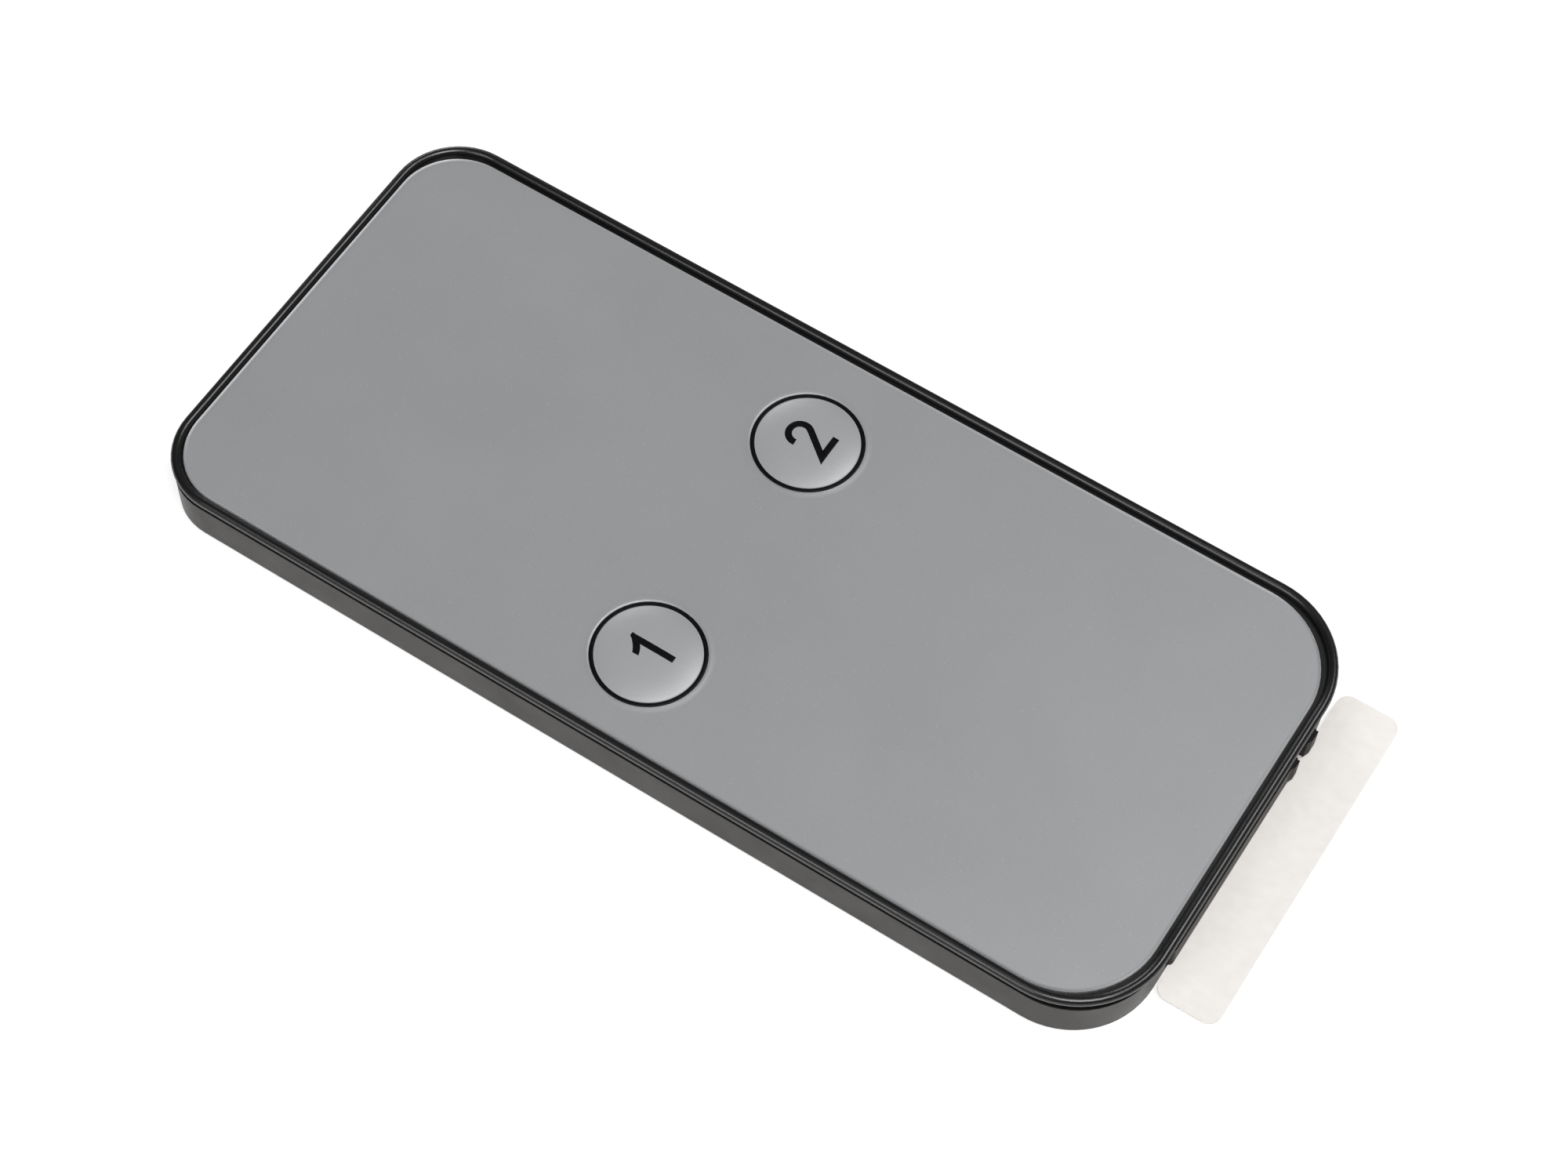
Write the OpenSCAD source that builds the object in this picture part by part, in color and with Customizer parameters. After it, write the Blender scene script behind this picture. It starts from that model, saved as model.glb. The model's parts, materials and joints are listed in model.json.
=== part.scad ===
// Card-type infrared remote control for a two-input video switch. Millimetres.
// Origin: centre of the flat back. X: right as held. Y: towards the infrared end. Z: out of the key face.

/* [Card] */
// Width across the bead
card_w = 40; // [38:0.5:44]
// Length from the infrared end to the battery end
card_l = 87; // [84:0.5:94]
// Corner radius at the infrared end
corner_front = 5.8; // [5:0.1:7]
// Corner radius at the battery end
corner_back = 7.8; // [5:0.1:8]
// Width of the round bead that frames the key face
bead_w = 0.8; // [0.75:0.05:0.95]
// Height of the bead's crest over the key face
bead_rise = 0.42; // [0.36:0.02:0.5]
// How far the bead stands out past the side wall
bead_overhang = 0.38; // [0.3:0.02:0.4]
// How much tighter than the bead the side wall turns its corners at the infrared end
wall_tight_front = 0.7; // [0:0.1:0.7]
// How much tighter than the bead the side wall turns its corners at the battery end
wall_tight_back = 0.3; // [0:0.1:0.7]
// Thickness of the side wall
wall_t = 1.2; // [1:0.1:1.4]
// Thickness of the back
floor_t = 0.8; // [0.7:0.05:1]
// Radius of the edge round the back
edge_r = 0.5; // [0.3:0.05:0.65]

/* [Keypad] */
// Distance from the card's left edge to the middle of key 1
key_edge_left = 8.2; // [8:0.1:12]
// Distance from the card's right edge to the middle of key 2
key_edge_right = 9.35; // [8:0.05:12]
// Lengthways place of the keys
key_y = 1.7; // [-4:0.1:8]
// Diameter of a key, to the outside of its printed ring
key_d = 9; // [8:0.1:9.6]
// Width of the printed ring
ring_w = 0.36; // [0.3:0.02:0.5]
// Height of a key's pillow over the key face
key_crown = 0.38; // [0.3:0.02:0.45]
// Travel of a key
key_travel = 0.25; // [0.15:0.01:0.28]
// How much rounder than the bead the key film's corners are
film_round = 0.45; // [0:0.05:0.8]
// Thickness of the printed key film
overlay_t = 0.2; // [0.15:0.01:0.25]
// Thickness of the spacer under the key film
spacer_t = 0.35; // [0.35:0.01:0.45]
// Diameter of a snap dome
dome_d = 6.4; // [5.6:0.1:6.8]
// Height of a snap dome
dome_h = 0.33; // [0.3:0.01:0.36]

/* [Circuit] */
// Thickness of the circuit board
board_t = 0.8; // [0.6:0.1:1]
// Diameter of the infrared LED
led_d = 3; // [2.6:0.1:3]
// Length of the LED from its flange to its tip
led_l = 5.3; // [4.8:0.1:5.6]

/* [Battery] */
// Diameter of the coin cell
cell_d = 20; // [19.5:0.1:20.5]
// Height of the coin cell
cell_h = 2.5; // [2.5:0.1:3.2]
// Sideways place of the cell and its tray
cell_x = 0.6; // [0:0.1:1.5]
// Width of the tray's arms beside the cell
tray_arm = 1.1; // [1:0.05:1.3]
// Depth of the bar that closes the battery slot
tray_bar = 3.15; // [3:0.05:3.6]
// Gap between the sliding pieces
slide_gap = 0.05; // [0.04:0.01:0.1]
// How far the grip nubs stand out of the tray's bar
nub_reach = 0.2; // [0.15:0.05:0.4]

/* [Pull tab] */
// Width of the tab's head
tab_w = 29.8; // [26:0.1:32]
// Depth of the tab's head
tab_head = 5.2; // [4:0.1:8]
// Corner radius of the tab's head
tab_r = 1.1; // [0.6:0.1:2]
// Sideways place of the tab
tab_x = 1.8; // [1:0.1:2.5]
// Room between the tab's strip and the ledges beside it
neck_gap = 0.3; // [0.2:0.1:3]
// Thickness of the tab's film
tab_t = 0.15; // [0.1:0.01:0.2]

/* [Hidden] */
$fn = 96;
cut = 1;          // how far a cutting shape runs past the face that it cuts
bond = 0.1;       // how far the shapes of one piece run into each other
half_w = card_w / 2;
half_l = card_l / 2;

// Heights, from the back up to the bead's crest
leaf_t = 0.15;
leaf_room = 0.25;
contact_room = 0.38;
seat = 0.02;
film_z = floor_t + leaf_room;
tray_z = film_z + tab_t + slide_gap;
cell_z = tray_z + seat;
cell_top = cell_z + cell_h;
tray_top = cell_top - seat;
board_z = cell_top + contact_room;
board_top = board_z + board_t;
overlay_z = board_top + spacer_t;
face_z = overlay_z + overlay_t;
crest_z = face_z + bead_rise;
bead_r = bead_w / 2;
bead_mid = crest_z - bead_r;

// Insets from the card's outer edge, in order from the edge to the middle
fit = 0.1;
skirt_t = 0.6;
skirt_h = 0.9;
groove_d = 0.25;
groove_h = 0.5;
film_play = 0.14;
board_gap = 0.2;
ledge_lap = 0.25;
wall_tight = [wall_tight_front, wall_tight_back];
film_tight = [-film_round, -film_round];
wall_in = bead_overhang + wall_t;
skirt_out = wall_in + fit;
skirt_in = skirt_out + skirt_t;
board_in = skirt_in + board_gap;
ledge_in = board_in + ledge_lap;
spacer_in = ledge_in + fit;
groove_in = bead_overhang + groove_d;
overlay_in = bead_w + slide_gap + film_play;
skirt_z = board_top - skirt_h;

// Snap hooks of the front frame
hook_w = 4;
hook_edge = 23;
hook_drop = 1.45;
hook_bite = 0.3;
hook_h = 0.4;
hook_y = half_l - hook_edge;
hook_z = skirt_z - hook_drop;

// Keypad
key_r = key_d / 2;
key_gap = 0.05;
spacer_gap = 0.15;
pillow_r = key_r - ring_w;
spacer_hole_r = key_r + spacer_gap;
pad_t = 0.05;
pad_lap = 0.2;
pad_w = 0.8;
dome_t = 0.08;
dome_z = board_top + pad_t;
dot_r = 1.2;
dot_z = dome_z + dome_h + slide_gap;
dot_top = face_z + key_crown - overlay_t - 2 * seat;
key_place = [[key_edge_left - half_w, key_y], [half_w - key_edge_right, key_y]];

// Circuit board, its posts and what is on it
post_r = 1.4;
post_side = 5;
post_end = 7;
peg_r = 0.6;
peg_gap = 0.05;
post_x = half_w - post_side;
post_y = half_l - post_end;
led_z = (floor_t + board_z) / 2;
led_r = led_d / 2;
led_gap = 0.05;
led_proud = 0.15;
led_rim = 0.1;
led_rim_l = 0.8;
led_tip = half_l - bead_overhang + led_proud;
led_flange_y = led_tip - led_l;
lead_t = 0.45;
lead_pitch = 2.54;
lead_run = 1.6;
chip_w = 4;
chip_l = 10;
chip_h = 1.6;
chip_lift = 0.12;
chip_place = [-5, 13];
chip_pins = 8;
pin_pitch = 1.27;
pin_w = 0.4;
pin_t = 0.2;
pin_shoulder = 0.5;
pin_foot = 0.5;
resonator_size = [7, 3.4, 2.4];
resonator_place = [7.5, 13];
transistor_size = [2.9, 1.3, 1];
transistor_lift = 0.1;
transistor_place = [4.5, 29];
leg_size = [0.4, 0.75, 0.4];
leg_pitch = 0.95;
reservoir_size = [3.5, 2.8, 1.9];
reservoir_place = [9, -8];
capacitor_size = [2, 1.25, 0.8];
capacitor_places = [[6, 18.5], [9.5, 18.5], [-11, 5]];
resistor_size = [2, 1.25, 0.5];
resistor_places = [[-3, 29], [-3, 26.5], [0.5, 26.5], [-8, -6]];

// Coin cell
pocket_gap = 0.1;
can_r = cell_d / 2;
can_t = 0.25;
rim_w = 0.75;
seal_w = 0.55;
cap_drop = 0.6;
gasket_drop = 0.6;
gasket_r = can_r - rim_w;
cap_r = gasket_r - seal_w;
cap_h = cell_h - cap_drop;

// Battery tray and the bay that guides it
side_gap = 0.25;
slot_gap = 0.15;
end_arm = 1.3;
tray_r = 0.4;
lip_t = 0.3;
lip_gap = 0.2;
rail_t = 1;
rail_gap = 0.15;
ledge_w = 0.75;
stop_w = 4.5;
stop_t = 0.8;
stop_gap = 0.2;
pocket_r = can_r + pocket_gap;
tray_half = pocket_r + tray_arm;
bay_half = tray_half + side_gap;
tray_right = cell_x + tray_half;
tray_left = cell_x - tray_half;
tray_front = slide_gap - half_l;
cell_y = tray_front + tray_bar + pocket_r;
tray_back = cell_y + pocket_r + end_arm;
lip_r = cap_r + lip_gap;
can_z = tray_z + lip_t + slide_gap;
slot_top = tray_top + slot_gap;

// Latch finger
pivot_side = 1;
pivot_depth = 8.25;
knuckle_r = 0.6;
knuckle_gap = 0.05;
finger_t = 0.9;
latch_w = 1.35;
latch_side = 0.5;
latch_gap = 1.6;
latch_head = 1.65;
latch_room = 0.3;
tooth_h = 0.4;
tooth_l = 1.1;
latch_pivot = [tray_right - pivot_side, tray_front + pivot_depth];
latch_right = tray_right - latch_side;
latch_left = latch_right - latch_w;

// Grip nubs
nub_w = 1.05;
nub_taper = 0.45;
nub_under = 0.2;
nub_over = 0.2;
nub_left = latch_left - latch_gap;
nub_z = [tray_z + nub_under, tray_top - nub_over];

// Battery contacts
contact_w = 4;
contact_side = 4.5;
foot_side = 1;
leaf_free = 5;
leaf_bend = 0.5;
leaf_tail = 1.5;
leaf_lift = 0.09;
foot_half = 3.5;
crown_gap = 0.03;
pad_run = 2;
pad_apart = 0.6;
riser_gap = 2.2;
riser_y = tray_back + riser_gap;

// Pull tab
tab_gap = 0.2;
tab_under = 9;
neck_half = bay_half - ledge_w - neck_gap;
tab_front = bead_overhang - tab_gap - half_l;
tab_back = cell_y + tab_under;

// Arrows moulded into the back: squeeze the latch, then pull the tray
mark_depth = 0.2;
mark_edge = 4;
mark_gap = 1.2;
head_w = 4.4;
head_l = 2.6;
stem_w = 1.6;
stem_l = 2.8;

// The card's outline, set in from its edge; tight is taken off the corner radii of the two ends
module outline(inset, tight = [0, 0]) {
    front = corner_front - tight[0];
    back = corner_back - tight[1];
    translate([-(half_w - inset), -(half_l - back)]) square([card_w - 2 * inset, card_l - front - back]);
    translate([-(half_w - front), 0]) square([card_w - 2 * front, half_l - inset]);
    translate([-(half_w - back), -(half_l - inset)]) square([card_w - 2 * back, half_l - inset]);
    for (side = [-1, 1]) {
        translate([side * (half_w - front), half_l - front]) circle(front - inset);
        translate([side * (half_w - back), back - half_l]) circle(back - inset);
    }
}

// A flat sheet of the card's outline
module sheet(inset, z, thick, tight = [0, 0]) {
    translate([0, 0, z]) linear_extrude(thick) outline(inset, tight);
}

// Runs a section once round the card. In the section x is 0 at the card's edge and falls inwards, y is height
module round_the_card(tight = [0, 0]) {
    front = corner_front - tight[0];
    back = corner_back - tight[1];
    for (side = [0, 1]) mirror([side, 0, 0]) {
        translate([half_w, half_l - front, 0])
            rotate([90, 0, 0]) linear_extrude(card_l - front - back) children();
        translate([half_w - front, half_l - front, 0])
            rotate_extrude(angle = 90) translate([front, 0]) children();
        translate([half_w - back, back - half_l, 0])
            rotate([0, 0, -90]) rotate_extrude(angle = 90) translate([back, 0]) children();
    }
    translate([front - half_w, half_l, 0]) rotate([90, 0, 90]) linear_extrude(card_w - 2 * front) children();
    mirror([0, 1, 0]) translate([back - half_w, half_l, 0])
        rotate([90, 0, 90]) linear_extrude(card_w - 2 * back) children();
}

// A rectangle between two corners
module box_2d(a, b) {
    translate(a) square([b[0] - a[0], b[1] - a[1]]);
}

// A box between two corners
module box_3d(a, b) {
    translate(a) cube(b - a);
}

// A rectangle with rounded corners between two corners
module round_box_2d(a, b, r) {
    box_2d([a[0] + r, a[1]], [b[0] - r, b[1]]);
    box_2d([a[0], a[1] + r], [b[0], b[1] - r]);
    for (x = [a[0] + r, b[0] - r], y = [a[1] + r, b[1] - r]) translate([x, y]) circle(r);
}

// A strip bent in the plane of Y and Z, drawn at one place along X
module bent_strip(x, width, profile) {
    translate([x - width / 2, 0, 0]) rotate([90, 0, 90]) linear_extrude(width) polygon(profile);
}

// The four places of the snap hooks, seen from the card's right edge
module at_hooks() {
    for (side = [0, 1], y = [-hook_y, hook_y]) mirror([side, 0, 0]) translate([half_w, y, 0]) children();
}

// The four places of the board posts
module at_posts() {
    for (x = [-post_x, post_x], y = [-post_y, post_y]) translate([x, y, 0]) children();
}

module case_section() {
    box_2d([-wall_in, edge_r], [-groove_in, board_top]);
    box_2d([-bead_overhang - edge_r, edge_r], [-bead_overhang, board_top - groove_h]);
    box_2d([-wall_in - 2 * bond, 0], [-bead_overhang - edge_r, floor_t]);
    translate([-bead_overhang - edge_r, edge_r]) circle(edge_r);
}

module rear_case() {
    color("dimgray") difference() {
        union() {
            round_the_card(wall_tight) case_section();
            sheet(wall_in + bond, 0, floor_t, wall_tight);
            at_posts() {
                translate([0, 0, floor_t - bond]) cylinder(h = board_z - floor_t + bond, r = post_r);
                cylinder(h = board_top - bond / 2, r = peg_r);
            }
            bay();
        }
        box_3d([tray_left - side_gap, -half_l - cut, floor_t],
               [tray_right + side_gap, -half_l + wall_in + cut, slot_top]);
        translate([0, half_l, led_z]) rotate([90, 0, 0]) cylinder(h = wall_in + cut, r = led_r + led_gap);
        at_hooks() box_3d([-wall_in - cut, -hook_w / 2 - fit, hook_z - fit],
                          [-skirt_out + hook_bite + fit, hook_w / 2 + fit, hook_z + hook_h + fit]);
        translate([cell_x, mark_edge - half_l, -cut]) arrow();
        translate([latch_right + mark_gap, mark_edge + head_w / 2 - half_l, -cut]) rotate([0, 0, -90]) arrow();
    }
}

// An arrow that points towards the battery end, from its tip
module arrow() {
    head = [head_w / 2, head_l];
    stem = [stem_w / 2, head_l + stem_l];
    linear_extrude(cut + mark_depth)
        polygon([[0, 0], head, [stem[0], head[1]], stem, [-stem[0], stem[1]], [-stem[0], head[1]],
                 [-head[0], head[1]]]);
}

// Rails, ledges and stops that guide the battery tray
module bay() {
    front = -half_l + wall_in;
    for (side = [0, 1]) translate([cell_x, 0, floor_t - bond]) mirror([side, 0, 0]) {
        box_3d([bay_half, front - bond, 0],
               [bay_half + rail_t, tray_back + stop_gap + stop_t, board_z - rail_gap - floor_t + bond]);
        box_3d([bay_half - ledge_w, front + bond, 0],
               [bay_half + bond, tray_back, tray_z - slide_gap - floor_t + bond]);
        box_3d([bay_half - stop_w, tray_back + stop_gap, 0],
               [bay_half + bond, tray_back + stop_gap + stop_t, tray_top - floor_t]);
    }
}

module frame_section() {
    translate([-bead_r, bead_mid]) circle(bead_r);
    box_2d([-bead_w, board_top], [-groove_in, bead_mid]);
    box_2d([-ledge_in, board_top], [-groove_in, overlay_z]);
    box_2d([-skirt_in, skirt_z], [-skirt_out, board_top + bond]);
}

module front_frame() {
    color([0.1, 0.1, 0.11]) {
        round_the_card() frame_section();
        at_hooks() {
            box_3d([-skirt_in, -hook_w / 2, hook_z - fit / 2], [-skirt_out, hook_w / 2, skirt_z + bond]);
            box_3d([-skirt_out - bond, -hook_w / 2, hook_z],
                   [-skirt_out + hook_bite, hook_w / 2, hook_z + hook_h]);
        }
    }
}

// The key film, cut smaller than its opening: it lies against the left side and the infrared end
module overlay_sheet() {
    color([0.6, 0.6, 0.62]) difference() {
        translate([-film_play, film_play, 0]) sheet(overlay_in, overlay_z, overlay_t, film_tight);
        for (p = key_place) translate([p[0], p[1], overlay_z - cut])
            cylinder(h = overlay_t + 2 * cut, r = key_r + key_gap);
    }
}

// Half the section of a shallow dome: its outside rises from foot_z at the radius given
module shell_slice(radius, rise, foot_z, thick) {
    ball = (radius * radius + rise * rise) / (2 * rise);
    intersection() {
        translate([0, foot_z + rise - ball]) difference() {
            circle(ball, $fn = 360);
            circle(ball - thick, $fn = 360);
        }
        box_2d([0, foot_z - thick], [radius, foot_z + rise + cut]);
    }
}

// A key: a pillow pressed into the film, with the flat ring round it
module key(index) {
    color([0.6, 0.6, 0.62]) translate([key_place[index][0], key_place[index][1], 0]) rotate_extrude() {
        shell_slice(pillow_r, key_crown, face_z, overlay_t);
        box_2d([pillow_r - bond, overlay_z], [key_r, face_z]);
    }
}

module key_1() {
    key(0);
}

module key_2() {
    key(1);
}

// The dot glued under a key's middle, which bears on the snap dome
module actuator_dot(index) {
    color("white") translate([key_place[index][0], key_place[index][1], dot_z])
        cylinder(h = dot_top - dot_z, r = dot_r);
}

module actuator_dot_1() {
    actuator_dot(0);
}

module actuator_dot_2() {
    actuator_dot(1);
}

module spacer_sheet() {
    color("gainsboro") difference() {
        sheet(spacer_in, board_top, spacer_t);
        for (p = key_place) translate([p[0], p[1], board_top - cut])
            cylinder(h = spacer_t + 2 * cut, r = spacer_hole_r);
    }
}

module snap_dome(index) {
    color("silver") translate([key_place[index][0], key_place[index][1], 0])
        rotate_extrude() shell_slice(dome_d / 2, dome_h - dome_t, dome_z + dome_t, dome_t);
}

module snap_dome_1() {
    snap_dome(0);
}

module snap_dome_2() {
    snap_dome(1);
}

// Gold pads on the board: a ring under each dome's rim and a spot under its middle
module key_contacts() {
    color("gold") for (p = key_place) translate([p[0], p[1], board_top]) {
        difference() {
            cylinder(h = pad_t, r = dome_d / 2 + pad_lap);
            translate([0, 0, -cut]) cylinder(h = pad_t + 2 * cut, r = dome_d / 2 + pad_lap - pad_w);
        }
        cylinder(h = pad_t, r = dot_r);
    }
}

module circuit_board() {
    color("darkgreen") difference() {
        sheet(board_in, board_z, board_t);
        at_posts() translate([0, 0, board_z - cut]) cylinder(h = board_t + 2 * cut, r = peg_r + peg_gap);
    }
}

// A block that hangs under the board
module under_board(place, size, lift) {
    translate([place[0] - size[0] / 2, place[1] - size[1] / 2, board_z - lift - size[2]]) cube(size);
}

module controller_chip() {
    color([0.12, 0.12, 0.12]) under_board(chip_place, [chip_w, chip_l, chip_h], chip_lift);
}

// Gull-wing leads on both long sides of the chip
module chip_leads() {
    side_x = chip_w / 2;
    knee_x = side_x + pin_shoulder;
    mid_z = board_z - chip_lift - chip_h / 2;
    color("silver") for (side = [0, 1], pin = [0 : chip_pins - 1])
        translate([chip_place[0], chip_place[1] + (pin - (chip_pins - 1) / 2) * pin_pitch - pin_w / 2, 0])
            mirror([side, 0, 0]) {
                box_3d([side_x, 0, mid_z], [knee_x, pin_w, mid_z + pin_t]);
                box_3d([knee_x - pin_t, 0, mid_z], [knee_x, pin_w, board_z]);
                box_3d([knee_x - pin_t, 0, board_z - pin_t], [knee_x + pin_foot, pin_w, board_z]);
            }
}

module ceramic_resonator() {
    color("goldenrod") under_board(resonator_place, resonator_size, 0);
}

// A small transistor with its three legs
module driver_transistor() {
    leg_y = (transistor_size[1] + leg_size[1]) / 2 - bond;
    color([0.15, 0.15, 0.15]) {
        under_board(transistor_place, transistor_size, transistor_lift);
        for (leg = [[-leg_pitch, -leg_y], [leg_pitch, -leg_y], [0, leg_y]])
            under_board(transistor_place + leg, leg_size, 0);
    }
}

module reservoir_capacitor() {
    color("orange") under_board(reservoir_place, reservoir_size, 0);
}

module chip_capacitors() {
    color("tan") for (p = capacitor_places) under_board(p, capacitor_size, 0);
}

module chip_resistors() {
    color([0.2, 0.2, 0.2]) for (p = resistor_places) under_board(p, resistor_size, 0);
}

// Round-nosed infrared LED, lying along Y
module ir_led() {
    color([0.35, 0.3, 0.4]) translate([0, led_flange_y, led_z]) rotate([-90, 0, 0]) {
        cylinder(h = led_rim_l, r = led_r + led_rim);
        cylinder(h = led_l - led_r, r = led_r);
        translate([0, 0, led_l - led_r]) sphere(led_r);
    }
}

// The LED's two legs: back from the flange, then up to the board
module ir_led_leads() {
    color("silver") for (side = [-1, 1])
        bent_strip(side * lead_pitch / 2, lead_t, [
            [led_flange_y, led_z - lead_t / 2],
            [led_flange_y, led_z + lead_t / 2],
            [led_flange_y - lead_run + lead_t, led_z + lead_t / 2],
            [led_flange_y - lead_run + lead_t, board_z],
            [led_flange_y - lead_run, board_z],
            [led_flange_y - lead_run, led_z - lead_t / 2]
        ]);
}

// Leaf under the board that bears on the cell's can
module positive_contact() {
    tip_z = cell_top + slide_gap;
    back = riser_y - pad_apart;
    color("silver") bent_strip(cell_x - contact_side, contact_w, [
        [back, board_z],
        [back, board_z - leaf_t],
        [cell_y + leaf_free, board_z - leaf_t],
        [cell_y + leaf_bend, tip_z],
        [cell_y - leaf_tail, tip_z + leaf_lift],
        [cell_y - leaf_tail, tip_z + leaf_lift + leaf_t],
        [cell_y + leaf_bend, tip_z + leaf_t],
        [cell_y + leaf_free, board_z]
    ]);
}

// Strip that goes down behind the tray and lies on the back under the cell's cap
module negative_contact() {
    color("silver") bent_strip(cell_x + foot_side, contact_w, [
        [riser_y + pad_run, board_z],
        [riser_y + pad_run, board_z - leaf_t],
        [riser_y + leaf_t, board_z - leaf_t],
        [riser_y + leaf_t, floor_t],
        [cell_y - foot_half, floor_t],
        [cell_y - foot_half, floor_t + leaf_t / 2],
        [cell_y, film_z - crown_gap],
        [cell_y + foot_half, floor_t + leaf_t],
        [riser_y, floor_t + leaf_t],
        [riser_y, board_z]
    ]);
}

// The drawer: a bar that closes the slot, and arms round the cell
module battery_tray() {
    color([0.13, 0.13, 0.14]) difference() {
        union() {
            translate([0, 0, tray_z]) linear_extrude(tray_top - tray_z)
                round_box_2d([tray_left, tray_front], [tray_right, tray_back], tray_r);
            translate([0, 0, nub_z[0]]) linear_extrude(nub_z[1] - nub_z[0]) polygon([
                [nub_left, tray_front + bond],
                [nub_left, tray_front - nub_reach],
                [nub_left - nub_w + nub_taper, tray_front - nub_reach],
                [nub_left - nub_w, tray_front],
                [nub_left - nub_w, tray_front + bond]
            ]);
        }
        translate([cell_x, cell_y, tray_z - cut]) cylinder(h = cell_h + 2 * cut, r = lip_r);
        translate([cell_x, cell_y, tray_z + lip_t]) cylinder(h = cell_h + cut, r = pocket_r);
        box_3d([nub_left, tray_front - cut, tray_z - cut],
               [tray_right + cut, tray_front + latch_head + latch_room, tray_top + cut]);
        box_3d([latch_pivot[0] - finger_t, tray_front, tray_z - cut],
               [tray_right + cut, latch_pivot[1], tray_top + cut]);
        translate([latch_pivot[0], latch_pivot[1], tray_z - cut])
            cylinder(h = cell_h + 2 * cut, r = knuckle_r + knuckle_gap);
    }
}

// The springy finger beside the tray's bar, with the nub that is squeezed to free the tray
module tray_latch() {
    z = [tray_z + slide_gap, tray_top - slide_gap];
    color([0.13, 0.13, 0.14]) {
        translate([latch_pivot[0], latch_pivot[1], z[0]]) cylinder(h = z[1] - z[0], r = knuckle_r);
        translate([0, 0, z[0]]) linear_extrude(z[1] - z[0]) {
            box_2d([latch_pivot[0] - finger_t / 2, tray_front + latch_head - bond],
                   [latch_pivot[0] + finger_t / 2, latch_pivot[1]]);
            box_2d([latch_left, tray_front], [latch_right, tray_front + latch_head]);
            polygon([
                [latch_pivot[0], tray_front + latch_head - bond],
                [latch_right + tooth_h, tray_front + latch_head - bond],
                [latch_right + tooth_h, tray_front + latch_head],
                [latch_pivot[0], tray_front + latch_head + tooth_l]
            ]);
        }
        translate([0, 0, nub_z[0]]) linear_extrude(nub_z[1] - nub_z[0]) polygon([
            [latch_right, tray_front + bond],
            [latch_right, tray_front - nub_reach],
            [latch_left + nub_taper, tray_front - nub_reach],
            [latch_left, tray_front],
            [latch_left, tray_front + bond]
        ]);
    }
}

// Steel can of the coin cell, its open rim downwards
module cell_can() {
    color("silver") translate([cell_x, cell_y, 0]) difference() {
        translate([0, 0, can_z]) cylinder(h = cell_top - can_z, r = can_r);
        translate([0, 0, can_z - cut]) cylinder(h = cell_top - can_t - can_z + cut, r = gasket_r);
    }
}

// Sealing ring between the can and the cap
module cell_gasket() {
    color([0.2, 0.2, 0.22]) translate([cell_x, cell_y, can_z]) difference() {
        cylinder(h = cap_h - gasket_drop, r = gasket_r);
        translate([0, 0, -cut]) cylinder(h = cap_h + 2 * cut, r = cap_r);
    }
}

// Steel cap of the coin cell, a shallow cup that faces the back of the card
module cell_cap() {
    color("silver") translate([cell_x, cell_y, cell_z]) difference() {
        cylinder(h = cap_h, r = cap_r);
        translate([0, 0, can_t]) cylinder(h = cap_h + cut, r = cap_r - can_t);
    }
}

// Film that keeps the cell off its contact until it is pulled out
module pull_tab() {
    color([0.95, 0.94, 0.92, 0.9]) translate([0, 0, film_z]) linear_extrude(tab_t) {
        round_box_2d([tab_x - tab_w / 2, tab_front - tab_head], [tab_x + tab_w / 2, tab_front], tab_r);
        box_2d([cell_x - neck_half, tab_front - tab_head / 2], [cell_x + neck_half, tab_back]);
    }
}

rear_case();
front_frame();
overlay_sheet();
key_1();
key_2();
actuator_dot_1();
actuator_dot_2();
spacer_sheet();
snap_dome_1();
snap_dome_2();
key_contacts();
circuit_board();
controller_chip();
chip_leads();
ceramic_resonator();
driver_transistor();
reservoir_capacitor();
chip_capacitors();
chip_resistors();
ir_led();
ir_led_leads();
positive_contact();
negative_contact();
battery_tray();
tray_latch();
cell_can();
cell_gasket();
cell_cap();
pull_tab();
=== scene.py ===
import json

import bmesh
import bpy
import numpy as np
from mathutils import Matrix, Vector


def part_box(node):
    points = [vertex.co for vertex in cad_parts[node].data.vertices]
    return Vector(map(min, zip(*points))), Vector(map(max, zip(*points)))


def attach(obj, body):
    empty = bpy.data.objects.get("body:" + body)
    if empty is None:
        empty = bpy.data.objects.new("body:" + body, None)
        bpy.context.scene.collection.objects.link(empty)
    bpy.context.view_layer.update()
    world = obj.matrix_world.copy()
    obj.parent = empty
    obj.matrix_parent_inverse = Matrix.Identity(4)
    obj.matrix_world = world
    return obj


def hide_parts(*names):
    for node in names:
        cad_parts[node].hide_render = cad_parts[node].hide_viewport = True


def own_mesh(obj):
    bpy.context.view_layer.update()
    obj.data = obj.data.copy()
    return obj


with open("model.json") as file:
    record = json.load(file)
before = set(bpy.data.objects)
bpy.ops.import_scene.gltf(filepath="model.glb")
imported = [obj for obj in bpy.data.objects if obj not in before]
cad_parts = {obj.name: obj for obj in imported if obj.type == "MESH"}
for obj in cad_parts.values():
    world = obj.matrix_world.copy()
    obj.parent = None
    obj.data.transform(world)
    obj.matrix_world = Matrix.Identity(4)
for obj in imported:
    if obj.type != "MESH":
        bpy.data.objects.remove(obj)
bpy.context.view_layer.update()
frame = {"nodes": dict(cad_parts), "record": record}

MM = 0.001
TURN = 2 * np.pi

# Camera, worked out from the photograph's edges and rings
CAMERA_AT = Vector((-0.11270, -0.06815, 0.23238))
CAMERA_AIM = Vector((-0.00358, -0.00504, 0.01002))
CAMERA_UP = Vector((0.72698, 0.47841, 0.49256))
CAMERA_NEAR = 0.01
SENSOR = 36.0
LENS = 78.439

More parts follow.
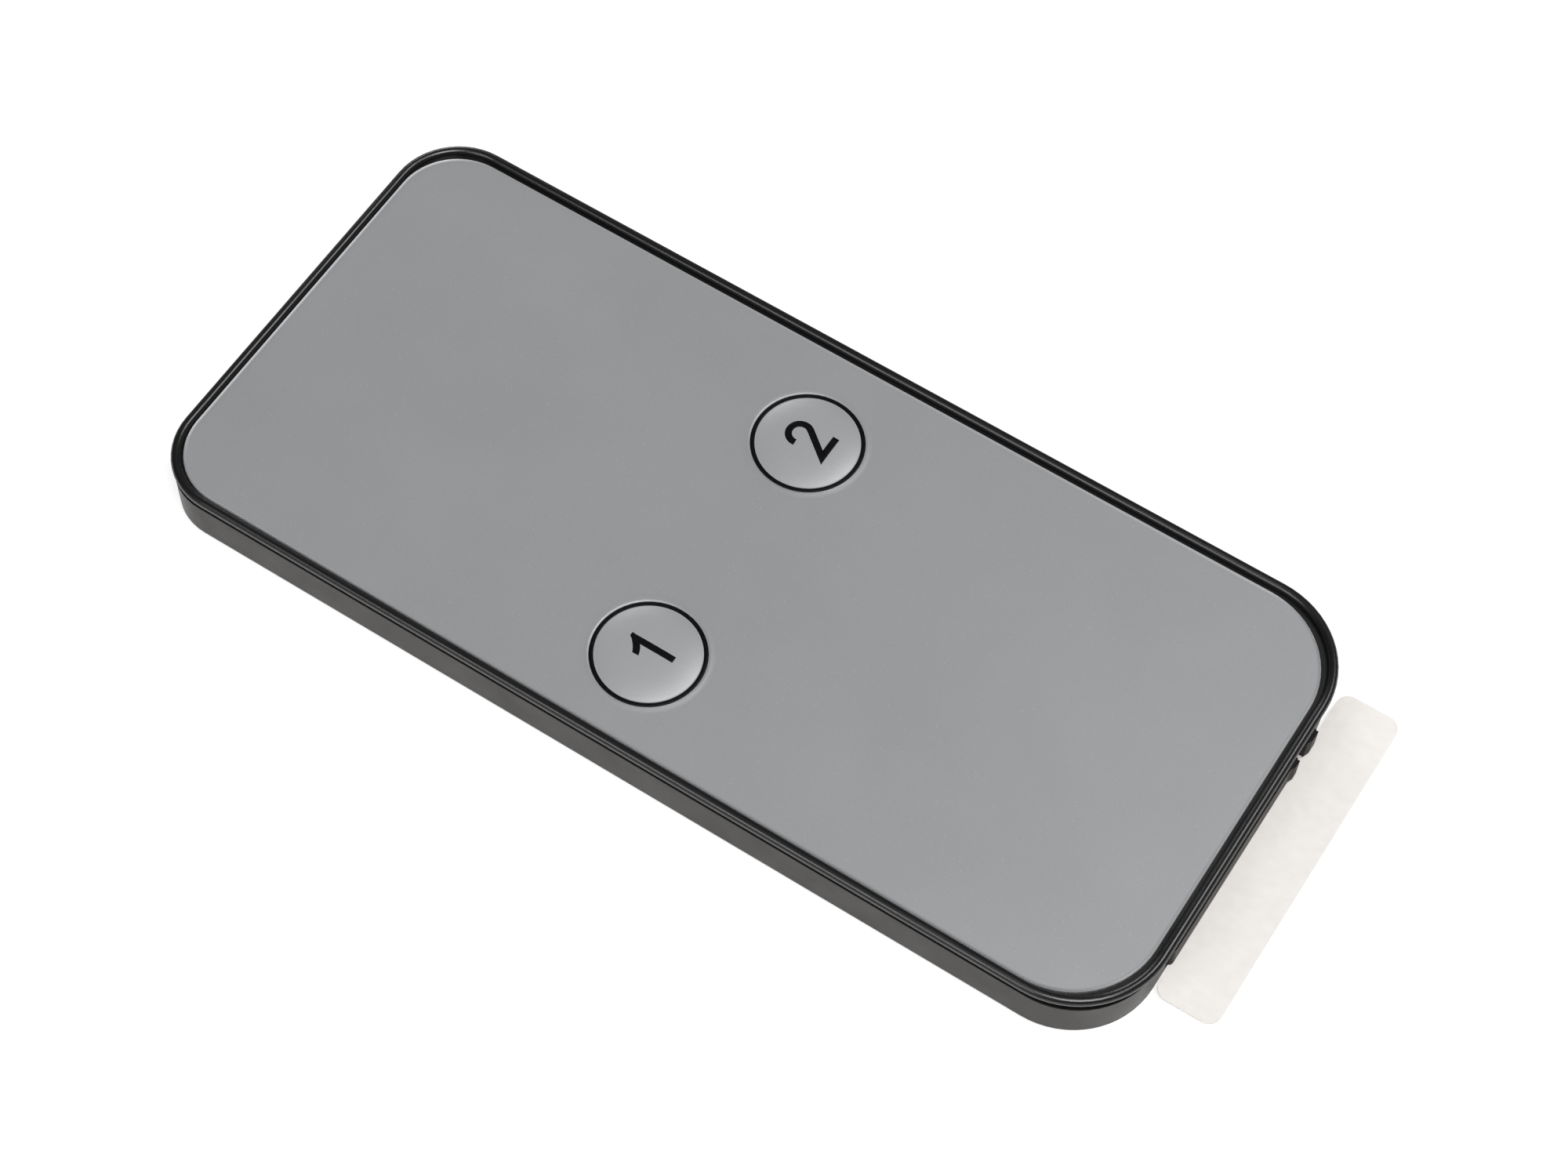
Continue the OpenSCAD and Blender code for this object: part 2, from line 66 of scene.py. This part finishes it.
# Studio
LIGHT_REACH = 0.6
FLOOR_HALF = 3.0
FLOOR_Z = -0.02 * MM
FLOOR_TONE = (0.55, 0.55, 0.55, 1)
FLOOR_ROUGH = 0.9
FLOOR_GLOW = 0.6
ROOM_GLOW = 0.03
WHITE = (1, 1, 1, 1)

# Painted shade: a band of the case wall under the frame's bead, darkened and dulled where the bead shades it
BEAD_SHADE_LOW = 3.95 * MM
BEAD_SHADE_HIGH = 4.15 * MM
BEAD_SHADE_TINT = (0.008, 0.0075, 0.007, 1)

# Key film, rings and numerals
RING_WIDTH = 0.32 * MM
RING_RISE = 0.035 * MM
PILLOW_POWER = 3.0
COLLAR_GAP = 0.06 * MM
COLLAR_WIDTH = 0.6 * MM
COLLAR_RISE = 0.045 * MM
COLLAR_PEAK = 0.25
FILM_THICK = 0.2 * MM
INK_THICK = 0.012 * MM
STROKE = 0.56 * MM

# Outline of the film, and its raised rim
CORNER_FRONT = 5.8 * MM
CORNER_BACK = 7.8 * MM
FILM_ROUND = 0.45 * MM
RIM_INSET = 0.05 * MM
RIM_WIDTH = 0.2 * MM
RIM_RISE = 0.075 * MM
RIM_POWER = 1.5
SUNK = 0.02 * MM

# Click domes
DOME_THICK = 0.08 * MM

# Fineness of the meshes
ROUND_STEPS = 160
CORNER_STEPS = 25
PILLOW_STEPS = 40
RING_STEPS = 15
COLLAR_STEPS = 24
RIM_STEPS = 16
DOME_STEPS = 30
STROKE_STEPS = 6
SHARP_ANGLE = np.radians(35)
MERGE_GAP = 1e-7

# Lumps, flakes and relief of the finishes
CLOUD = 4 * MM
GRAIN = 0.12 * MM
GRAIN_DEPTH = 0.01 * MM
GRAIN_SHARE = 0.35
GRAIN_SPREAD = 0.06
BRUSH_LINE = 0.05 * MM
BRUSH_DEPTH = 0.0008 * MM
BRUSH_SPREAD = 0.08
FILM_CLOUD = 9 * MM
VELVET = 0.09 * MM
VELVET_DEPTH = 0.004 * MM
VELVET_SHARE = 0.4
FLAKE = 0.11 * MM
FLAKE_TINT = (0.37, 0.37, 0.38, 1)
INK_SPECK = 0.15 * MM
INK_DEPTH = 0.004 * MM
FIBRE = 0.7 * MM
FIBRE_DEPTH = 0.006 * MM
SWIRL = 1.5 * MM
WEAVE = 0.3 * MM
WEAVE_SHARE = 0.25
LANES_PER_METRE = 300.0
LANE_WIDTH = 0.06
LANE_DEPTH = 0.03 * MM
LANE_STRENGTH = 0.6

scene = bpy.context.scene
film_low, film_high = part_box("overlay_sheet")
_, frame_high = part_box("front_frame")
FACE = film_high.z


def grid_faces(rows, columns, loop_rows, loop_columns):
    """Quads between neighbouring points of a grid; a loop joins the last row or column to the first."""
    row = np.arange(rows if loop_rows else rows - 1)
    column = np.arange(columns if loop_columns else columns - 1)
    i, j = np.meshgrid(row, column, indexing="ij")
    i_next = (i + 1) % rows
    j_next = (j + 1) % columns
    corners = [i * columns + j, i_next * columns + j, i_next * columns + j_next, i * columns + j_next]
    return np.stack(corners, -1).reshape(-1, 4)


def surface(name, points, loop_rows, loop_columns, finish, body):
    """A piece whose mesh is a grid of points, its seams and poles merged and its faces turned outwards."""
    rows, columns = points.shape[:2]
    faces = grid_faces(rows, columns, loop_rows, loop_columns)
    mesh = bpy.data.meshes.new(name)
    mesh.from_pydata(points.reshape(-1, 3).tolist(), [], faces.tolist())
    work = bmesh.new()
    work.from_mesh(mesh)
    bmesh.ops.remove_doubles(work, verts=work.verts, dist=MERGE_GAP)
    bmesh.ops.recalc_face_normals(work, faces=work.faces)
    work.to_mesh(mesh)
    work.free()
    mesh.shade_smooth()
    mesh.set_sharp_from_angle(angle=SHARP_ANGLE)
    mesh.materials.append(finish)
    made = bpy.data.objects.new(name, mesh)
    scene.collection.objects.link(made)
    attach(made, body)
    return made


def turned(profile, centre):
    """A profile of radius and height, carried round the upright axis through centre."""
    angle = np.linspace(0, TURN, ROUND_STEPS, endpoint=False)
    radius = profile[:, 0][:, None]
    x = centre[0] + radius * np.cos(angle)
    y = centre[1] + radius * np.sin(angle)
    z = np.broadcast_to(profile[:, 1][:, None], x.shape)
    return np.stack([x, y, z], -1)


def round_the_film(profile):
    """A profile of inset and height, carried round the film's outline: each corner is an arc about its own
    centre, and the straight sides join the arcs."""
    middle = (film_low + film_high) / 2
    half_w = (film_high.x - film_low.x) / 2
    half_l = (film_high.y - film_low.y) / 2
    trim = frame_high.x - half_w
    arc = np.linspace(0, TURN / 4, CORNER_STEPS)
    radius = np.array([CORNER_FRONT, CORNER_FRONT, CORNER_BACK, CORNER_BACK]) + FILM_ROUND - trim
    side = np.array([1, -1, -1, 1])
    end = np.array([1, 1, -1, -1])
    angle = (np.arange(4)[:, None] * TURN / 4 + arc).ravel()
    centre_x = np.repeat(middle.x + side * (half_w - radius), arc.size)
    centre_y = np.repeat(middle.y + end * (half_l - radius), arc.size)
    reach = np.repeat(radius, arc.size) - profile[:, 0][:, None]
    x = centre_x + reach * np.cos(angle)
    y = centre_y + reach * np.sin(angle)
    z = np.broadcast_to(profile[:, 1][:, None], x.shape)
    return np.stack([x, y, z], -1)


def new_finish(name):
    """An empty principled material, with its node tree, its shader and its Object coordinates."""
    finish = bpy.data.materials.new(name)
    finish.use_nodes = True
    tree = finish.node_tree
    shader = tree.nodes["Principled BSDF"]
    place = tree.nodes.new("ShaderNodeTexCoord").outputs["Object"]
    return finish, tree, shader, place


def add(tree, kind, sockets, **settings):
    """Adds a node; each socket takes a value or a link."""
    made = tree.nodes.new(kind)
    for key, value in settings.items():
        setattr(made, key, value)
    for key, value in sockets.items():
        if isinstance(value, bpy.types.NodeSocket):
            tree.links.new(value, made.inputs[key])
        else:
            made.inputs[key].default_value = value
    return made


def noise(tree, place, size, detail=2.0, stretch=(1, 1, 1)):
    """Noise whose lumps are about size metres across, drawn out along an axis by a stretch below 1."""
    spread = add(tree, "ShaderNodeMapping", {"Vector": place, "Scale": stretch})
    made = add(tree, "ShaderNodeTexNoise", {"Vector": spread.outputs[0], "Scale": 1 / size, "Detail": detail})
    return made.outputs["Fac"]


def ramp(tree, factor, stops):
    """Grey levels or colours between stops of a factor."""
    made = add(tree, "ShaderNodeValToRGB", {"Fac": factor})
    band = made.color_ramp
    while len(band.elements) < len(stops):
        band.elements.new(1.0)
    for element, (at, colour) in zip(band.elements, stops):
        element.position = at
        element.color = (*colour, 1) if len(colour) == 3 else (colour[0], colour[0], colour[0], 1)
    return made.outputs["Color"]


def drive(tree, socket, factor, stops):
    """Links a shader's socket to a ramp of a factor."""
    tree.links.new(ramp(tree, factor, stops), socket)


def mixed(tree, factor, first, second, blend="MIX"):
    """One colour laid over another by a factor."""
    made = add(tree, "ShaderNodeMix", {}, data_type="RGBA", blend_type=blend)
    for index, value in ((0, factor), (6, first), (7, second)):
        if isinstance(value, bpy.types.NodeSocket):
            tree.links.new(value, made.inputs[index])
        else:
            made.inputs[index].default_value = value
    return made.outputs[2]


def relief(tree, shader, height, depth, strength=1.0):
    """A bump of that depth in metres."""
    made = add(tree, "ShaderNodeBump", {"Height": height, "Distance": depth, "Strength": strength})
    tree.links.new(made.outputs["Normal"], shader.inputs["Normal"])


def moulded(name, dark, light, rough, depth=GRAIN_DEPTH, gloss=0.5, painted_shade=None):
    """Moulded plastic: a cloudy tint, a fine spark-eroded grain, and gloss that varies with both. A painted
    shade gives two heights: from the lower to the upper one the tint darkens and the gloss goes, a painted
    shadow band."""
    finish, tree, shader, place = new_finish(name)
    cloud = noise(tree, place, CLOUD, 3.0)
    fine = noise(tree, place, GRAIN)
    tone = mixed(tree, GRAIN_SHARE, cloud, fine)
    tint = ramp(tree, tone, [(0.3, dark), (0.7, light)])
    # Painted shade: between the two heights the tint goes near black and the gloss goes, standing in for the
    # bead's shadow on the wall
    if painted_shade:
        height = add(tree, "ShaderNodeSeparateXYZ", {"Vector": place}).outputs["Z"]
        span = {"Value": height, "From Min": painted_shade[0], "From Max": painted_shade[1]}
        share = add(tree, "ShaderNodeMapRange", span).outputs["Result"]
        tint = mixed(tree, share, tint, BEAD_SHADE_TINT)
        shine = mixed(tree, share, (gloss, gloss, gloss, 1), (0, 0, 0, 1))
        tree.links.new(shine, shader.inputs["Specular IOR Level"])
    tree.links.new(tint, shader.inputs["Base Color"])
    levels = [(0.3, (rough + GRAIN_SPREAD,)), (0.7, (rough - GRAIN_SPREAD,))]
    drive(tree, shader.inputs["Roughness"], tone, levels)
    relief(tree, shader, fine, depth)
    shader.inputs["Specular IOR Level"].default_value = gloss
    return finish


def brushed(name, dark, light, rough, stretch):
    """Bright metal with fine drawn lines along one axis."""
    finish, tree, shader, place = new_finish(name)
    lines = noise(tree, place, BRUSH_LINE, 3.0, stretch)
    drive(tree, shader.inputs["Base Color"], lines, [(0.25, dark), (0.75, light)])
    levels = [(0.2, (rough - BRUSH_SPREAD,)), (0.8, (rough + BRUSH_SPREAD,))]
    drive(tree, shader.inputs["Roughness"], lines, levels)
    relief(tree, shader, lines, BRUSH_DEPTH)
    shader.inputs["Metallic"].default_value = 1.0
    return finish


def metallic_film(name, dark, light):
    """Printed satin film: grey with sparse bright flakes, a faint cloud and a fine velvet surface."""
    finish, tree, shader, place = new_finish(name)
    cloud = noise(tree, place, FILM_CLOUD)
    velvet = noise(tree, place, VELVET)
    flake = add(tree, "ShaderNodeTexVoronoi", {"Vector": place, "Scale": 1 / FLAKE})
    pick = add(tree, "ShaderNodeSeparateColor", {"Color": flake.outputs["Color"]})
    ground = ramp(tree, mixed(tree, VELVET_SHARE, cloud, velvet), [(0.3, dark), (0.7, light)])
    chosen = ramp(tree, pick.outputs["Red"], [(0.95, (0.0,)), (1.0, (1.0,))])
    spot = ramp(tree, flake.outputs["Distance"], [(0.2, (1.0,)), (0.5, (0.0,))])
    fleck = mixed(tree, 1.0, chosen, spot, "MULTIPLY")
    tree.links.new(mixed(tree, fleck, ground, FLAKE_TINT), shader.inputs["Base Color"])
    drive(tree, shader.inputs["Roughness"], velvet, [(0.3, (0.37,)), (0.7, (0.43,))])
    relief(tree, shader, velvet, VELVET_DEPTH)
    shader.inputs["Metallic"].default_value = 0.25
    return finish


def black_ink(name):
    """Screen-printed ink: near black and dull, with pinholes that show as small greyer specks."""
    finish, tree, shader, place = new_finish(name)
    speck = noise(tree, place, INK_SPECK, 3.0)
    tones = [(0.60, (0.002, 0.002, 0.0025)), (0.78, (0.012, 0.012, 0.012))]
    drive(tree, shader.inputs["Base Color"], speck, tones)
    drive(tree, shader.inputs["Roughness"], speck, [(0.3, (0.40,)), (0.8, (0.50,))])
    relief(tree, shader, speck, INK_DEPTH)
    shader.inputs["Specular IOR Level"].default_value = 0.08
    return finish


def milky_film(name):
    """Pull tab film: warm white, faintly mottled like paper, and a little see-through."""
    finish, tree, shader, place = new_finish(name)
    fibre = noise(tree, place, FIBRE, 5.0, (1, 0.7, 1))
    tones = [(0.3, (0.755, 0.728, 0.695)), (0.7, (0.80, 0.775, 0.745))]
    drive(tree, shader.inputs["Base Color"], fibre, tones)
    drive(tree, shader.inputs["Roughness"], fibre, [(0.3, (0.50,)), (0.7, (0.62,))])
    relief(tree, shader, fibre, FIBRE_DEPTH)
    shader.inputs["Transmission Weight"].default_value = 0.2
    return finish


def tinted_resin(name):
    """Clear epoxy with a dark violet tint that lets infrared through."""
    finish, tree, shader, place = new_finish(name)
    swirl = noise(tree, place, SWIRL)
    tones = [(0.3, (0.05, 0.03, 0.09)), (0.7, (0.09, 0.05, 0.14))]
    drive(tree, shader.inputs["Base Color"], swirl, tones)
    drive(tree, shader.inputs["Roughness"], swirl, [(0.3, (0.08,)), (0.7, (0.14,))])
    shader.inputs["Transmission Weight"].default_value = 0.5
    shader.inputs["IOR"].default_value = 1.54
    return finish


def solder_mask(name):
    """Green board lacquer over copper runs, which show as lighter lanes."""
    finish, tree, shader, place = new_finish(name)
    pattern = {
        "Vector": place,
        "Scale": LANES_PER_METRE,
        "Mortar Size": LANE_WIDTH,
        "Color1": (0.010, 0.085, 0.030, 1),
        "Color2": (0.012, 0.095, 0.034, 1),
        "Mortar": (0.035, 0.19, 0.07, 1),
    }
    lanes = add(tree, "ShaderNodeTexBrick", pattern)
    weave = noise(tree, place, WEAVE)
    glass = ramp(tree, weave, [(0.3, (0.008, 0.06, 0.02)), (0.7, (0.02, 0.14, 0.05))])
    lacquer = mixed(tree, WEAVE_SHARE, lanes.outputs["Color"], glass)
    tree.links.new(lacquer, shader.inputs["Base Color"])
    drive(tree, shader.inputs["Roughness"], weave, [(0.3, (0.25,)), (0.7, (0.35,))])
    relief(tree, shader, lanes.outputs["Fac"], LANE_DEPTH, LANE_STRENGTH)
    return finish


film = metallic_film("key_film_finish", (0.260, 0.266, 0.275), (0.279, 0.285, 0.294))
# Painted highlight: the key caps use a lighter copy of the key film, standing in for the broader sheen their
# domed shape catches
lit_cap_film = metallic_film("key_cap_lit_finish", (0.300, 0.305, 0.313), (0.322, 0.327, 0.335))
ink = black_ink("black_ink_finish")
finishes = {
    "case_grey": moulded("case_finish", (0.032, 0.030, 0.0275), (0.041, 0.038, 0.0355), 0.38, gloss=0.13,
                         painted_shade=(BEAD_SHADE_LOW, BEAD_SHADE_HIGH)),
    "frame_black": moulded("frame_finish", (0.004, 0.004, 0.004), (0.008, 0.008, 0.008), 0.29,
                           depth=0.004 * MM),
    "key_film": film,
    "dot_white": moulded("dot_finish", (0.62, 0.62, 0.60), (0.72, 0.72, 0.70), 0.55),
    "spacer_clear": moulded("spacer_finish", (0.50, 0.52, 0.52), (0.60, 0.62, 0.62), 0.35),
    "spring_steel": brushed("dome_finish", (0.50, 0.50, 0.50), (0.68, 0.68, 0.67), 0.25, (0.1, 1, 1)),
    "contact_gold": brushed("pad_finish", (0.72, 0.50, 0.20), (0.86, 0.62, 0.28), 0.25, (1, 0.2, 1)),
    "board_green": solder_mask("board_finish"),
    "chip_black": moulded("chip_finish", (0.012, 0.012, 0.013), (0.022, 0.022, 0.023), 0.6),
    "tinned_lead": brushed("lead_finish", (0.55, 0.55, 0.54), (0.75, 0.75, 0.74), 0.35, (0.3, 1, 1)),
    "resonator_amber": moulded("resonator_finish", (0.35, 0.15, 0.03), (0.46, 0.21, 0.05), 0.45),
    "tantalum_amber": moulded("tantalum_finish", (0.40, 0.20, 0.04), (0.50, 0.27, 0.06), 0.5),
    "capacitor_tan": moulded("capacitor_finish", (0.36, 0.26, 0.15), (0.46, 0.34, 0.21), 0.5),
    "led_resin": tinted_resin("led_finish"),
    "nickel_strip": brushed("contact_finish", (0.55, 0.54, 0.50), (0.74, 0.72, 0.68), 0.25, (1, 0.08, 1)),
    "tray_grey": moulded("tray_finish", (0.006, 0.0055, 0.005), (0.012, 0.011, 0.010), 0.42, gloss=0.1),
    "cell_steel": brushed("cell_finish", (0.66, 0.66, 0.66), (0.82, 0.82, 0.81), 0.44, (0.08, 1, 1)),
    "gasket_dark": moulded("gasket_finish", (0.02, 0.02, 0.02), (0.04, 0.04, 0.04), 0.6),
    "tab_film": milky_film("tab_finish"),
}
for row in frame["record"]["subparts"]:
    coated = frame["nodes"][row["node"]]
    coated.data.materials.clear()
    coated.data.materials.append(finishes[row["material_slot"]])


def pillow_height(radius, pillow, crown):
    """Height over the key face of a pressed pillow: its crown, less a power of the share of its radius, so
    that it is nearly flat in the middle and turns down round its edge."""
    return crown * (1 - np.minimum(radius / pillow, 1) ** PILLOW_POWER)


def key_pieces(number, body, strips):
    """An embossed key: its film is a pillow inside a raised ring, the ring's ink is a band over that, the
    numeral's strokes are ruled strips laid on the pillow, and the film of the face rises to a collar round
    it: a straight flank beside the ring, then a run-out that falls with the square of the way left."""
    low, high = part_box("key_" + number)
    centre = (low + high) / 2
    radius = (high.x - low.x) / 2
    pillow = radius - RING_WIDTH
    crown = high.z - FACE
    cap_r = np.linspace(0, pillow, PILLOW_STEPS)
    ring_r = np.linspace(pillow, radius, RING_STEPS)
    ring_z = FACE + RING_RISE * np.sin(np.pi * (ring_r - pillow) / RING_WIDTH)
    top = np.concatenate([np.stack([cap_r, FACE + pillow_height(cap_r, pillow, crown)], -1),
                          np.stack([ring_r, ring_z], -1)[1:]])
    under = top[::-1] - (0, FILM_THICK)
    shell = turned(np.concatenate([top, under]), centre)
    cap = surface(f"key_{number}_film", shell, False, True, lit_cap_film, body)
    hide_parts("key_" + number)
    band = np.stack([ring_r, ring_z + INK_THICK], -1)
    band = np.concatenate([band, band[::-1] - (0, 2 * INK_THICK)])
    surface(f"key_{number}_ring", turned(band, centre), True, True, ink, body)
    share = np.linspace(0, 1, COLLAR_STEPS)
    lift = COLLAR_RISE * np.where(share < COLLAR_PEAK, share / COLLAR_PEAK,
                                  ((1 - share) / (1 - COLLAR_PEAK)) ** 2)
    collar = np.stack([radius + COLLAR_GAP + COLLAR_WIDTH * share, FACE + lift], -1)
    collar = np.concatenate([collar, [[collar[-1, 0], FACE - SUNK], [collar[0, 0], FACE - SUNK]]])
    surface(f"key_{number}_collar", turned(collar, centre), True, True, film, "case")
    for part, (left, right) in strips.items():
        across = np.linspace(0, 1, STROKE_STEPS)[:, None]
        plan = left[:, None] + (right - left)[:, None] * across
        height = pillow_height(np.hypot(plan[..., 0], plan[..., 1]), pillow, crown)
        x = centre.x + plan[..., 0]
        y = centre.y + plan[..., 1]
        inked = np.stack([x, y, FACE + height + INK_THICK], -1)
        strip = surface(f"key_{number}_{part}", inked, False, False, ink, body)
        backing = strip.modifiers.new("ink", "SOLIDIFY")
        backing.thickness = 2 * INK_THICK
        backing.offset = -1


def click_dome(number):
    """A snap dome: a thin shell that drops with the square of the radius."""
    low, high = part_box("snap_dome_" + number)
    centre = (low + high) / 2
    span = (high.x - low.x) / 2
    radius = np.linspace(0, span, DOME_STEPS)
    arch = low.z + (high.z - low.z - DOME_THICK) * (1 - (radius / span) ** 2)
    outer = np.stack([radius, arch + DOME_THICK], -1)
    inner = np.stack([radius, arch], -1)[::-1]
    shell = turned(np.concatenate([outer, inner]), centre)
    dome = surface(f"key_{number}_dome", shell, False, True, finishes["spring_steel"], "case")
    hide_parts("snap_dome_" + number)
    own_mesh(dome)


def film_rim():
    """The film's raised edge: a lip whose height falls with a power of the way left across it."""
    share = np.linspace(0, 1, RIM_STEPS)
    inner = RIM_INSET + RIM_WIDTH
    lip = np.stack([RIM_INSET + RIM_WIDTH * share, FACE + RIM_RISE * (1 - share) ** RIM_POWER], -1)
    lip = np.concatenate([lip, [[inner, FACE - SUNK], [RIM_INSET, FACE - SUNK]]])
    surface("film_rim", round_the_film(lip), True, True, film, "case")


def even(points, count):
    """Points spread evenly by length along a line of corners given in millimetres."""
    line = np.array(points) * MM
    run = np.concatenate([[0], np.cumsum(np.hypot(*np.diff(line, axis=0).T))])
    at = np.linspace(0, run[-1], count)
    return np.stack([np.interp(at, run, line[:, 0]), np.interp(at, run, line[:, 1])], -1)


def bowed(start, middle, end, count):
    """Points of a curve between two ends that leans to a middle point: a quadratic blend of the three, which
    are given in millimetres."""
    t = np.linspace(0, 1, count)[:, None]
    blend = (1 - t) ** 2 * start + 2 * t * (1 - t) * middle + t ** 2 * end
    return blend * MM


def stroke(path):
    """Both edges of a stroke: the path's points moved half the stroke's width along the mitre of the
    neighbouring directions."""
    step = np.diff(path, axis=0)
    step = step / np.hypot(*step.T)[:, None]
    before = np.concatenate([step[:1], step])
    after = np.concatenate([step, step[-1:]])
    normal = np.stack([-(before + after)[:, 1], (before + after)[:, 0]], -1)
    normal = normal / np.hypot(*normal.T)[:, None]
    along = np.abs(normal[:, 0] * -after[:, 1] + normal[:, 1] * after[:, 0])
    shift = normal * (STROKE / 2 / along)[:, None]
    return path + shift, path - shift


def numeral_one():
    """A plain 1: a straight stem with a slanting tip, and a flag ruled between two bowed edges."""
    left = 0.18
    right = 0.73
    foot = -2.00
    shoulder = 1.62
    tip = 1.96
    stem = (even([(left, foot), (left, shoulder)], 24), even([(right, foot), (right, shoulder)], 24))
    peak = (even([(left, shoulder), (0.44, tip)], 6), even([(right, shoulder), (0.76, tip)], 6))
    stem = tuple(np.concatenate([lower, upper[1:]]) for lower, upper in zip(stem, peak))
    upper = bowed(np.array((-0.72, 1.00)), np.array((-0.24, 1.22)), np.array((left, 1.64)), 12)
    lower = bowed(np.array((-0.70, 0.46)), np.array((-0.22, 0.56)), np.array((left, 0.90)), 12)
    return {"stem": stem, "flag": (upper, lower)}


def numeral_two():
    """A plain 2: an arc, a slant and a foot as one stroke."""
    middle = (0.2, 0.88)
    bowl = 0.90
    heel = (-0.72, -1.74)
    toe = (1.40, -1.74)
    angle = np.radians(np.linspace(187, -38, 40))
    arc = np.stack([middle[0] + bowl * np.cos(angle), middle[1] + bowl * np.sin(angle)], -1) * MM
    slant = even([arc[-1] / MM, heel], 16)
    foot = even([heel, toe], 12)
    return {"stroke": stroke(np.concatenate([arc, slant[1:], foot[1:]]))}


key_pieces("1", "key_1_body", numeral_one())
key_pieces("2", "key_2_body", numeral_two())
click_dome("1")
click_dome("2")
film_rim()

camera = bpy.data.objects.new("camera", bpy.data.cameras.new("camera"))
camera.data.sensor_width = SENSOR
camera.data.lens = LENS
camera.data.clip_start = CAMERA_NEAR
back = (CAMERA_AT - CAMERA_AIM).normalized()
right = CAMERA_UP.cross(back).normalized()
turn = Matrix((right, back.cross(right), back)).transposed().to_4x4()
camera.matrix_world = Matrix.Translation(CAMERA_AT) @ turn
scene.collection.objects.link(camera)
scene.camera = camera

floor_mesh = bpy.data.meshes.new("floor")
floor_corners = [(-FLOOR_HALF, -FLOOR_HALF, FLOOR_Z), (FLOOR_HALF, -FLOOR_HALF, FLOOR_Z),
                 (FLOOR_HALF, FLOOR_HALF, FLOOR_Z), (-FLOOR_HALF, FLOOR_HALF, FLOOR_Z)]
floor_mesh.from_pydata(floor_corners, [], [(0, 1, 2, 3)])
floor = bpy.data.objects.new("floor", floor_mesh)
scene.collection.objects.link(floor)
paper, _, paper_shader, _ = new_finish("floor_finish")
paper_shader.inputs["Base Color"].default_value = FLOOR_TONE
paper_shader.inputs["Roughness"].default_value = FLOOR_ROUGH
paper_shader.inputs["Emission Color"].default_value = WHITE
paper_shader.inputs["Emission Strength"].default_value = FLOOR_GLOW
floor_mesh.materials.append(paper)


def soft_light(name, elevation, azimuth, size, power):
    """A square soft light turned to the card, at that height and bearing in degrees from it."""
    rise = np.radians(elevation)
    bearing = np.radians(azimuth)
    flat = np.cos(rise)
    at = LIGHT_REACH * Vector((flat * np.cos(bearing), flat * np.sin(bearing), np.sin(rise)))
    lamp = bpy.data.lights.new(name, "AREA")
    lamp.size = size
    lamp.energy = power
    made = bpy.data.objects.new(name, lamp)
    made.matrix_world = Matrix.Translation(at) @ at.to_track_quat("Z", "Y").to_matrix().to_4x4()
    scene.collection.objects.link(made)


soft_light("main_light", 68, 234, 0.25, 2.85)
soft_light("key_light", 59, 317, 0.22, 1.35)
soft_light("left_light", 40, 168, 0.26, 1.18)
soft_light("rear_light", 22, 45, 0.20, 0.82)
world = bpy.data.worlds.new("studio")
world.use_nodes = True
world.node_tree.nodes["Background"].inputs["Color"].default_value = WHITE
world.node_tree.nodes["Background"].inputs["Strength"].default_value = ROOM_GLOW
scene.world = world
scene.view_settings.view_transform = "Standard"
